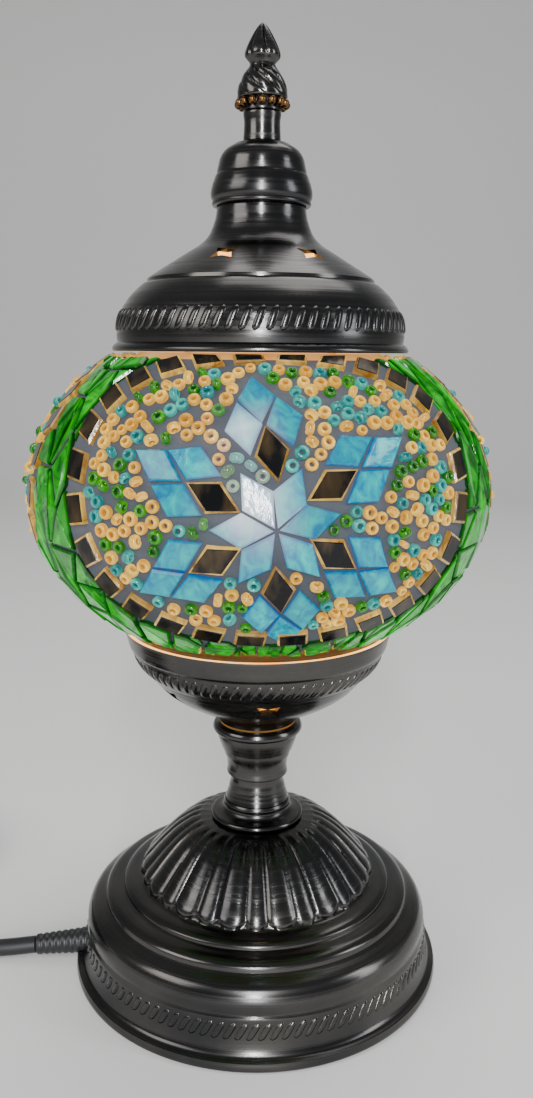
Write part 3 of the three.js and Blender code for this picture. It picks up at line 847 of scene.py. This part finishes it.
def rhombus(middle, pointing, side, half_angle):
    """Corners of a rhombus whose sharp ends point along a direction."""
    long = turned_point(pointing, side * cos(radians(half_angle)))
    short = turned_point(pointing + 90, side * sin(radians(half_angle)))
    return [middle + long, middle + short, middle - long, middle - short]


def painted_bulb_spot(at):
    """How strong the painted bulb spot is at a point, from 0 to 1: the glass is painted white where the
    bulb shows through.
    """
    total = 0.0
    for place, spread, strength in PAINTED_BULB_SPOTS:
        away = (at - Vector(place)).length / spread
        total += strength * exp(-(away**2))
    return min(1.0, total)


def star_cells(chance):
    """The pieces of one star: the corners and the kind of each."""
    cells = []
    for direction in PETALS:
        middle = turned_point(direction, PETAL_MIDDLE)
        cells.append((rhombus(middle, direction, PETAL_SIDE, 30), "turquoise"))
    for direction, distance, pointing in RAYS:
        mirror = turned_point(direction, distance)
        cells.append((rhombus(mirror, pointing, CELL_SIDE - 0.3, CELL_HALF_ANGLE - 2), "mirror"))
        left = turned_point(pointing + CELL_HALF_ANGLE, CELL_PITCH)
        right = turned_point(pointing - CELL_HALF_ANGLE, CELL_PITCH)
        for shift in (left, right, left + right):
            tilt = pointing + chance.uniform(-4, 4)
            cells.append((rhombus(mirror + shift, tilt, CELL_SIDE, CELL_HALF_ANGLE), "turquoise"))
    return cells


def beyond(corners, at):
    """How far a point lies outside a convex piece; less than 0 is inside it."""
    worst = -99.0
    for a, b in zip(corners, corners[1:] + corners[:1]):
        edge = (b - a).normalized()
        worst = max(worst, (at - a).dot(Vector((edge.y, -edge.x))))
    return worst


def oval(at, margin):
    """Under 1 inside the border's oval drawn in by a margin, over 1 outside it."""
    x = at.x / (BORDER_HALF_WIDTH - margin)
    y = (at.y - BORDER_LIFT) / (BORDER_HALF_HEIGHT - margin)
    return x * x + y * y


def border_cells():
    """Mirror pieces evenly along the border's oval: the corners of each."""
    steps = 1440
    track = []
    for i in range(steps):
        angle = tau * i / steps
        up = BORDER_LIFT + BORDER_HALF_HEIGHT * cos(angle)
        track.append(Vector((BORDER_HALF_WIDTH * sin(angle), up)))
    lengths = [0.0]
    for a, b in zip(track, track[1:] + track[:1]):
        lengths.append(lengths[-1] + (b - a).length)
    cells = []
    for n in range(BORDER_PIECES):
        target = lengths[-1] * (n + 0.5) / BORDER_PIECES
        i = next(k for k in range(steps) if lengths[k + 1] > target)
        along = (track[(i + 1) % steps] - track[i - 1]).normalized() * BORDER_LONG / 2
        out = Vector((-along.y, along.x)).normalized() * BORDER_WIDE / 2
        low, high = track[i] - out, track[i] + out
        cells.append([low - along, low + along, high + along, high - along])
    return cells


def clipped(corners, at, outward):
    """The part of a convex piece on the outward side of a line through a point."""
    kept = []
    for a, b in zip(corners, corners[1:] + corners[:1]):
        da, db = (a - at).dot(outward), (b - at).dot(outward)
        if da >= 0:
            kept.append(a)
        if da * db < 0:
            kept.append(a + (b - a) * (da / (da - db)))
    return kept


def area(corners):
    """The area of a flat piece."""
    total = 0.0
    for a, b in zip(corners, corners[1:] + corners[:1]):
        total += a.x * b.y - b.x * a.y
    return abs(total) / 2


def trimmed(diamond, side):
    """The part of a lattice piece between its seam, its ends and the medallion's border."""
    corners = []
    for turn, up in diamond:
        up = min(LATTICE_TOP + 6, max(LATTICE_BOTTOM - 6, up))
        reach = GROUT_RADIUS * cos(side_angle(up))
        across = side * radians(min(turn, SEAM_TURN)) * reach
        corners.append(Vector((across, up)))
    if side < 0:
        corners.reverse()
    corners = clipped(corners, Vector((0, LATTICE_TOP)), Vector((0, -1)))
    if len(corners) > 2:
        corners = clipped(corners, Vector((0, LATTICE_BOTTOM)), Vector((0, 1)))
    if len(corners) < 3:
        return corners
    middle = sum(corners, Vector((0, 0))) / len(corners)
    if min(oval(c, -4.6) for c in corners + [middle]) < 1:
        up = (middle.y - BORDER_LIFT) / BORDER_HALF_HEIGHT
        angle = atan2(middle.x / BORDER_HALF_WIDTH, up)
        wide, high = BORDER_HALF_WIDTH + 4.7, BORDER_HALF_HEIGHT + 4.7
        edge = Vector((wide * sin(angle), BORDER_LIFT + high * cos(angle)))
        outward = Vector((sin(angle) / wide, cos(angle) / high)).normalized()
        corners = clipped(corners, edge, outward)
    return corners


def lattice_shards(side, chance):
    """Green pieces on one side of a medallion, up to the seam halfway to the next one."""
    shards = []
    for i in range(12):
        for j in range(-7, 8):
            if (i + j) % 2:
                continue
            turn, up = SEAM_TURN - DIAMOND_TURN * i, 1 + DIAMOND_UP * j
            right, top = (turn + DIAMOND_TURN, up), (turn, up + DIAMOND_UP)
            left, bottom = (turn - DIAMOND_TURN, up), (turn, up - DIAMOND_UP)
            pieces = [[right, top, left], [left, bottom, right]]
            if chance.random() < 0.45:
                pieces = [[top, left, bottom], [bottom, right, top]]
            if chance.random() < 0.3:
                pieces = [[right, top, left, bottom]]
            for piece in pieces:
                corners = trimmed(piece, side)
                if len(corners) > 2 and area(corners) > 7:
                    shards.append(corners)
    return shards


def add_globe():
    """The mosaic: three medallions, the green lattice between them, the beads and the grout."""
    turquoise, green, edges, faces = Glass(), Glass(), Glass(0.3), Glass()
    beads = {"amber": Glass(), "aqua": Glass(), "green": Glass()}
    for number, medallion in enumerate(MEDALLION_TURNS):
        chance = random.Random(40 + number)
        cells = star_cells(chance)
        for corners, kind in cells:
            if kind == "turquoise":
                turquoise.chip(medallion, corners, chance.uniform(0, 0.5), 1.5, 0.25, 0.6, True)
            else:
                edges.chip(medallion, corners, chance.uniform(0, 0.7), 1.5, 0.2, 0.5)
                faces.chip(medallion, corners, 0.0, 1.7, 0.65, 0.3)
        for corners in border_cells():
            if max(c.y for c in corners) > BORDER_LIMIT:
                corners = [Vector((c.x, min(c.y, BORDER_CUT))) for c in corners]
            edges.chip(medallion, corners, chance.uniform(0, 0.7), 1.7, 0.2, 0.5)
            faces.chip(medallion, corners, 0.0, 1.9, 0.7, 0.3)
        for side in (-1, 1):
            for corners in lattice_shards(side, chance):
                tone, proud = chance.uniform(0, 0.6), chance.uniform(0.9, 1.9)
                green.chip(medallion, corners, tone, proud, 0.5, 0.7)
        place_beads(medallion, cells, beads, chance)
    turquoise_piece = turquoise.build("turquoise_pieces", TURQUOISE, 20)
    green.build("green_shards", GREEN, 12)
    edges.build("mirror_edges", GOLD_EDGE, 20)
    faces.build("mirror_faces", MIRROR, 20)
    for kind, material in (("amber", AMBER), ("aqua", AQUA), ("green", LEAF)):
        beads[kind].build(kind + "_beads", material, 80)
    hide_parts("mosaic_skin")
    add_grout()


def place_beads(medallion, cells, beads, chance):
    """Seed beads in the free grout of a medallion.

    A few first ones come at random, the next ones each touch one that is there, and small ones
    fill what is left.
    """
    nearby = {}

    def is_free(at, size):
        """Whether a bead is clear of the border, of other beads and of the star's pieces."""
        if oval(at, 4.3 + size) > 1 or at.y > BEADS_TOP:
            return False
        column, row = int(at.x // GRID), int(at.y // GRID)
        for i in (column - 1, column, column + 1):
            for j in (row - 1, row, row + 1):
                for other, width in nearby.get((i, j), ()):
                    if (at - other).length < size + width:
                        return False
        for corners, _ in cells:
            if (at - corners[0]).length < 24 and beyond(corners, at) < size * 0.9:
                return False
        return True

    def put(at, size):
        """Adds a bead, of a random kind."""
        square = int(at.x // GRID), int(at.y // GRID)
        nearby.setdefault(square, []).append((at, size))
        pick = chance.random()
        kind = "amber" if pick < 0.52 else "aqua" if pick < 0.77 else "green"
        tone, lying = chance.uniform(0, 0.6), chance.random() < 0.28
        swing = chance.uniform(0, pi)
        # A bead's glow is the painted bulb spot, a little weaker.
        beads[kind].bead(medallion, at.x, at.y, size, 0.7 * painted_bulb_spot(at), tone, lying, swing)

    def anywhere():
        """A random place in a medallion."""
        return Vector((chance.uniform(-60, 60), chance.uniform(-42, 57)))

    waiting = []
    for _ in range(60):
        at = anywhere()
        if len(waiting) < 14 and is_free(at, BEAD_SIZES[0]):
            put(at, BEAD_SIZES[0])
            waiting.append((at, BEAD_SIZES[0]))
    while waiting:
        n = chance.randrange(len(waiting))
        at, size = waiting[n]
        for _ in range(26):
            other = chance.choice(BEAD_SIZES)
            step = turned_point(chance.uniform(0, 360), size + other + chance.uniform(0.02, 0.25))
            if is_free(at + step, other):
                put(at + step, other)
                waiting.append((at + step, other))
                break
        else:
            waiting.pop(n)
    for size in FILLER_SIZES:
        for _ in range(5000):
            at = anywhere()
            if is_free(at, size):
                put(at, size)


def add_grout():
    """The thin shell of grout that the mosaic is set in."""
    outside, inside = [], []
    rows = 48
    for i in range(rows + 1):
        angle = side_angle(GROUT_LOW + GROUT_SPAN * i / rows)
        rise = GROUT_RISE if angle > 0 else GROUT_FALL
        for outline, depth in ((outside, 0), (inside, GROUT_THICK)):
            height = GLOBE_MIDDLE + (rise - depth) * sin(angle)
            outline.append(((GROUT_RADIUS - depth) * cos(angle), height))
    inside.reverse()
    points, faces, _ = spun(outside, inside, 180)
    add_piece("grout", points, faces, [GROUT], "globe", (), 40)


def bulb_arc(radius, steps, count):
    """Points up a bulb's round end, from its neck towards its top."""
    low = -0.93
    arc = []
    for i in range(count):
        angle = low + (pi / 2 - low) * i / steps
        arc.append((radius * cos(angle), 189 + radius * sin(angle)))
    return arc


def add_bulb():
    """The bulb's glass, a round end on a narrow neck."""
    outside = [(4.9, 144), (5.9, 144), (5.9, 160.6), (6.4, 163.6), (8.6, 167.4), (13.4, 171)]
    outside += bulb_arc(22.5, 15, 15)[1:] + [(0, 211.5)]
    inside = [(0, 210.5)] + bulb_arc(21.5, 14, 14)[::-1] + [(7.3, 167.4), (4.9, 161)]
    spun_piece(
        "lit_bulb", smooth_line(outside, 3), inside, "bulb", "bulb_glass", [BULB], 64
    )


# ---- carried-over parts
def paint_nodes():
    """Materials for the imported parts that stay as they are."""
    looks = {
        STEEL: ("bottom_washer", "bottom_nut", "centre_tube", "cup_washer", "cup_nut", "harp_strap",
                "harp_stud", "harp_nut", "switch_screw_1", "switch_screw_2", "bulb_contact"),
        IRON: ("base_weight",),
        FELT: ("base_felt",),
        BOARD: ("bottom_cover",),
        CORD: ("cup_gasket", "cap_gasket", "cable_in_base"),
        CERAMIC: ("socket_base", "socket_body"),
        BRASS: ("socket_shell", "socket_contact", "finial_insert", "bulb_cap", "switch_contact",
                "plug_pin_1", "plug_pin_2"),
        MOULDED: ("switch_base", "switch_cover", "switch_rocker", "plug_body"),
        MILKY: ("globe_glass", "bulb_stem"),
        FILAMENT: ("bulb_filament",),
        BROWN: ("lead_live",),
        BLUE: ("lead_neutral",),
    }
    for material, names in looks.items():
        for name in names:
            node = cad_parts[name]
            node.data.materials.clear()
            node.data.materials.append(material)


# ---- camera
def add_camera():
    """A near camera that looks a little down."""
    camera = new_object("camera", bpy.data.cameras.new("camera"))
    camera.data.sensor_width = 36
    camera.data.lens = 32.1
    tilt = Matrix.Rotation(radians(90 - 11.5), 4, "X")
    roll = Matrix.Rotation(radians(0.54), 4, "Z")
    camera.matrix_world = Matrix.Translation((0.0028, -0.351, 0.234)) @ tilt @ roll
    bpy.context.scene.camera = camera


# ---- cord
def exit_point(past):
    """A point on the cord's way out of the base, a distance past the hole."""
    reach = GRIP_START + past * cos(EXIT_SLANT)
    height = EXIT_HEIGHT - past * sin(EXIT_SLANT)
    return (-reach * cos(EXIT_SLANT), -reach * sin(EXIT_SLANT), height)


def coil_point(turned, radius, height):
    """A point in the coil, turned clockwise from its front."""
    turn = radians(turned)
    return (COIL_X - radius * sin(turn), COIL_Y - radius * cos(turn), height)


def lying(*spots):
    """Points of a cord that lies on the floor."""
    return [(x, y, LYING) for x, y in spots]


def first_cord_points():
    """From the base, past the coil's outer side and back to the switch."""
    points = [exit_point(23.4), (-99, -6.8, 3.9)]
    points += lying(
        (-112, -7), (-135, -7), (-160, -7), (-182, -7), (-205, -6.2), (-222.5, 1.8), (-234.3, 17.5),
        (-239.8, 38), (-241, 60), (-238, 82), (-226, 101.5), (-206, 114.2), (-183, 118), (-161, 114),
        (-143, 102.5), (-132, 85), (-128.8, 65), (-128.6, 48),
    )
    return points + [
        (-130.1, 32, 3.8), (-134.6, 20.4, 5.6), (-142.4, 12.8, 7.9), (-152, 9.8, 9.5), (-157.7, 9.2, 9.7),
    ]


def second_cord_points():
    """From the switch into the coil, two layers of turns, and over its side to the plug."""
    points = [(-204.3, 9.2, 9.7), (-210, 9.8, 9.5), (-218.6, 13.4, 7.8), (-224.9, 18.9, 5.8)]
    points.append((-229.2, 26, 4.2))
    points += lying((-231.2, 34.5), (-231.6, 48), (-230.9, 61))
    for turned in range(100, 200, 20):
        radius = COIL_OUTER + COIL_PITCH - COIL_PITCH * (turned - 100) / 100
        points.append(coil_point(turned, radius, LYING))
    for turned in range(200, 1181, 20):
        radius = max(COIL_INNER, COIL_OUTER - COIL_PITCH * (turned - 200) / 360)
        climb = max(0, turned - 1060) / 140
        height = LYING + (SECOND_LAYER - LYING) * climb**2 * (3 - 2 * climb)
        points.append(coil_point(turned, radius, height))
    for turned in range(1204, 1985, 20):
        radius = COIL_INNER + COIL_PITCH * (turned - 1184) / 360
        points.append(coil_point(turned, radius, SECOND_LAYER))
    for step in range(1, 6):
        height = SECOND_LAYER + 1.35 * step
        points.append(coil_point(1984 + 18 * step, 40.5 + 0.6 * step, height))
    return points + [
        (-138.7, 52, 17.9), (-143.2, 43.8, 19.2), (-149.9, 38.2, 20.2), (-157.2, 35.5, 20.6),
        (-163.7, 35, 20.6),
    ]


def cord_curve(name, points):
    """A round cord along smooth points."""
    curve = bpy.data.curves.new(name, "CURVE")
    curve.dimensions = "3D"
    curve.resolution_u = 5
    curve.bevel_depth = CORD_DIAMETER / 2 * MM
    curve.bevel_resolution = 4
    curve.use_fill_caps = True
    spline = curve.splines.new("BEZIER")
    spline.bezier_points.add(len(points) - 1)
    for knot, point in zip(spline.bezier_points, metres(points)):
        knot.co = point
        knot.handle_left_type = "AUTO"
        knot.handle_right_type = "AUTO"
    curve.materials.append(CORD)
    piece = new_object(name, curve)
    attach(piece, "lamp_base")
    return piece


def add_grip():
    """The tapered, ringed strain relief at the hole in the base."""
    points, faces = [], []
    steps, rings = 32, 47
    start = Vector(exit_point(0.6))
    way = Vector(exit_point(23)) - start
    side = way.cross(Vector((0, 0, 1))).normalized()
    up = side.cross(way).normalized()
    for i in range(rings):
        t = i / (rings - 1)
        groove = 0.35 if 4 < i < 44 and i % 5 in (0, 1) else 0.0
        radius = 5.0 - 1.25 * t - groove
        if i in (0, rings - 1):
            radius -= 0.5
        for j in range(steps):
            swing = tau * j / steps
            out = side * cos(swing) + up * sin(swing)
            points.append(start + way * t + out * radius)
    faces += ring_faces(0, rings, steps)
    faces.append(tuple(range(steps)))
    faces.append(tuple((rings - 1) * steps + j for j in range(steps)))
    return add_piece(
        "cord_boot", points, faces, [CORD], "lamp_base", ("cord_grip",), 50
    )


def add_tie():
    """A flat tie round the coil's far side, where it is two layers thick."""
    points, faces = [], []
    rows, reach, middle = 40, 34.2, 6.7
    for i in range(rows):
        swing = tau * i / rows
        out = 12.4 * copysign(abs(cos(swing)) ** 0.5, cos(swing))
        up = 6.55 * copysign(abs(sin(swing)) ** 0.5, sin(swing))
        for side in (-2.2, 2.2):
            for thick in (0, 0.9):
                stretch = 1 + thick / 14
                turned = 20 + degrees(side / reach)
                points.append(coil_point(turned, reach + out * stretch, middle + up * stretch))
    for i in range(rows):
        a, b = 4 * i, 4 * ((i + 1) % rows)
        faces += [(a, b, b + 2, a + 2), (a + 1, a + 3, b + 3, b + 1)]
        faces += [(a, a + 1, b + 1, b), (a + 2, b + 2, b + 3, a + 3)]
    return add_piece("coil_tie", points, faces, [CORD], "lamp_base", (), 50)


def add_cords():
    """The cord's two parts with their fittings."""
    grip = add_grip()
    tie = add_tie()
    first = cord_curve("cord_to_switch", first_cord_points())
    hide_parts("cord_run")
    second = cord_curve("cord_to_plug", second_cord_points())
    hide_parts("cord_lead", "cord_coil", "cord_tail")


# ---- stage and light
def add_stage():
    """A plain pale floor that curves up into a backdrop."""
    material, _, _ = new_material("pale_floor", (0.78, 0.77, 0.75), 0.7)
    profile = [(-3, 0), (1.2, 0)]
    for i in range(1, 13):
        turn = radians(90 * i / 12)
        profile.append((1.2 + 0.8 * sin(turn), 0.8 - 0.8 * cos(turn)))
    profile.append((2.0, 3.2))
    points = [(x, y, z) for y, z in profile for x in (-4, 4)]
    faces = [(2 * i, 2 * i + 1, 2 * i + 3, 2 * i + 2) for i in range(len(profile) - 1)]
    mesh = bpy.data.meshes.new("floor")
    mesh.from_pydata(points, [], faces)
    mesh.shade_smooth()
    mesh.materials.append(material)
    new_object("floor", mesh)


def add_light(name, place, target, width, height, power, color=(1, 1, 1)):
    """A soft rectangular light that faces a target."""
    data = bpy.data.lights.new(name, "AREA")
    data.shape = "RECTANGLE"
    data.size = width
    data.size_y = height
    data.energy = power
    data.color = color
    light = new_object(name, data)
    light.location = place
    light.rotation_euler = (Vector(target) - Vector(place)).to_track_quat("-Z", "Y").to_euler()


def add_lights():
    """A dim grey world, a strip in front and three soft lights."""
    world = bpy.data.worlds.new("world")
    bpy.context.scene.world = world
    world.use_nodes = True
    background = world.node_tree.nodes["Background"]
    background.inputs["Color"].default_value = (0.75, 0.78, 0.82, 1)
    background.inputs["Strength"].default_value = 0.3
    middle = (0, 0, 0.17)
    add_light("front_strip", (0.0, -1.3, 0.6), middle, 0.07, 1.0, 24, (0.95, 0.98, 1.0))
    add_light("left_soft", (-1.1, -0.7, 0.9), middle, 0.8, 0.8, 9, (1.0, 0.98, 0.95))
    add_light("right_soft", (1.3, -0.4, 0.6), middle, 0.35, 0.9, 7, (0.9, 0.95, 1.0))
    add_light("top_soft", (0.2, 0.5, 1.5), middle, 1.0, 1.0, 9)


add_camera()
add_cords()
add_base()
add_stem()
add_cup()
add_cap()
add_finial()
add_globe()
add_bulb()
paint_nodes()
add_stage()
add_lights()
